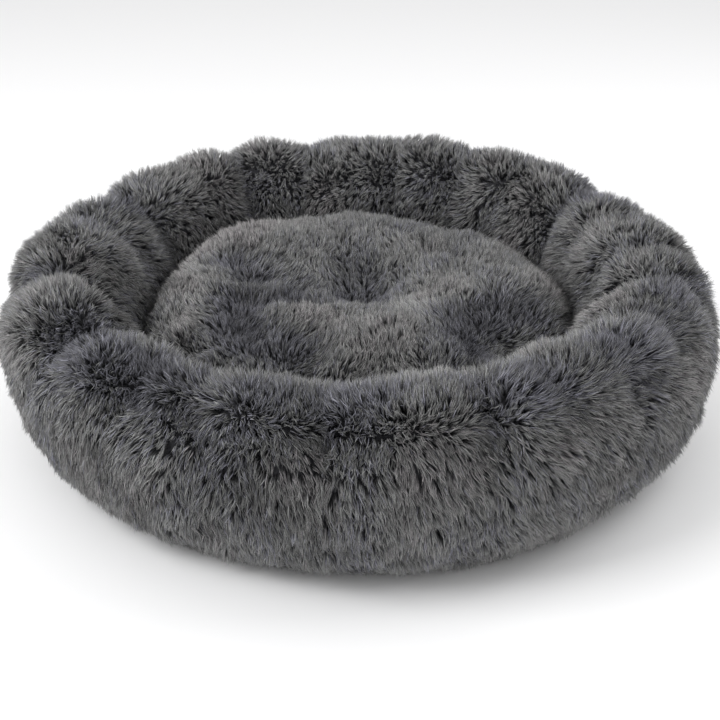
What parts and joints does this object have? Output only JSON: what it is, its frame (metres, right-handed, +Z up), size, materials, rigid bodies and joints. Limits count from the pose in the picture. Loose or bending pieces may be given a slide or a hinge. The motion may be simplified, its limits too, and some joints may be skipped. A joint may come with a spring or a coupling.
{
  "type": "pet bed",
  "caption": "Round plush pet bed: a gathered, fibre-filled shag ring on a sewn base, with a tufted round cushion that lifts out of its well.",
  "frame": {"origin": "middle of the base, on the surface that the bed stands on", "axes": "+Z up through the middle of the ring; +Y towards the side of the cushion that has the zip"},
  "size_m": [0.7, 0.7, 0.192],
  "materials": {
    "shag": "matte",
    "elastic": "matte",
    "fibre": "matte",
    "base_cloth": "matte",
    "binding": "matte",
    "grip_rubber": "matte",
    "lining": "matte",
    "under_cloth": "matte",
    "thread": "matte",
    "plastic": "matte",
    "zip_tape": "matte",
    "zip_plastic": "satin",
    "zip_metal": "satin",
    "label": "matte"
  },
  "bodies": {
    "ring": {"outer_wall_panel": "shag", "rim_panel": "shag", "gather_cord": "elastic", "ring_fill": "fibre", "base_cloth": "base_cloth", "base_binding": "binding", "grip_dots": "grip_rubber", "well_lining": "lining"},
    "cushion": {"cushion_top_cover": "shag", "cushion_under_cover": "under_cloth", "cushion_fill": "fibre", "tuft_thread": "thread", "tuft_disc": "plastic", "tuft_button": "plastic", "zip_tape_upper": "zip_tape", "zip_tape_lower": "zip_tape", "zip_teeth_upper": "zip_plastic", "zip_teeth_lower": "zip_plastic", "zip_stop_closed": "zip_plastic", "zip_stop_open": "zip_plastic", "care_label": "label"},
    "zip_slider_body": {"zip_slider": "zip_metal"},
    "zip_pull_body": {"zip_pull": "zip_metal"}
  },
  "joints": [
    {"name": "cushion_lift", "type": "slide", "parent": "ring", "child": "cushion", "axis": [0, 0, 1], "range_m": [0, 0.24]},
    {"name": "zip_travel", "type": "hinge", "parent": "cushion", "child": "zip_slider_body", "pos_m": [0, 0, 0.027], "axis": [0, 0, 1], "range_deg": [0, 109]},
    {"name": "pull_swing", "type": "hinge", "parent": "zip_slider_body", "child": "zip_pull_body", "pos_m": [0.15674, 0.10877, 0.02322], "axis": [0.5809, 0.4031, 0.7071], "range_deg": [-88, 88]}
  ]
}
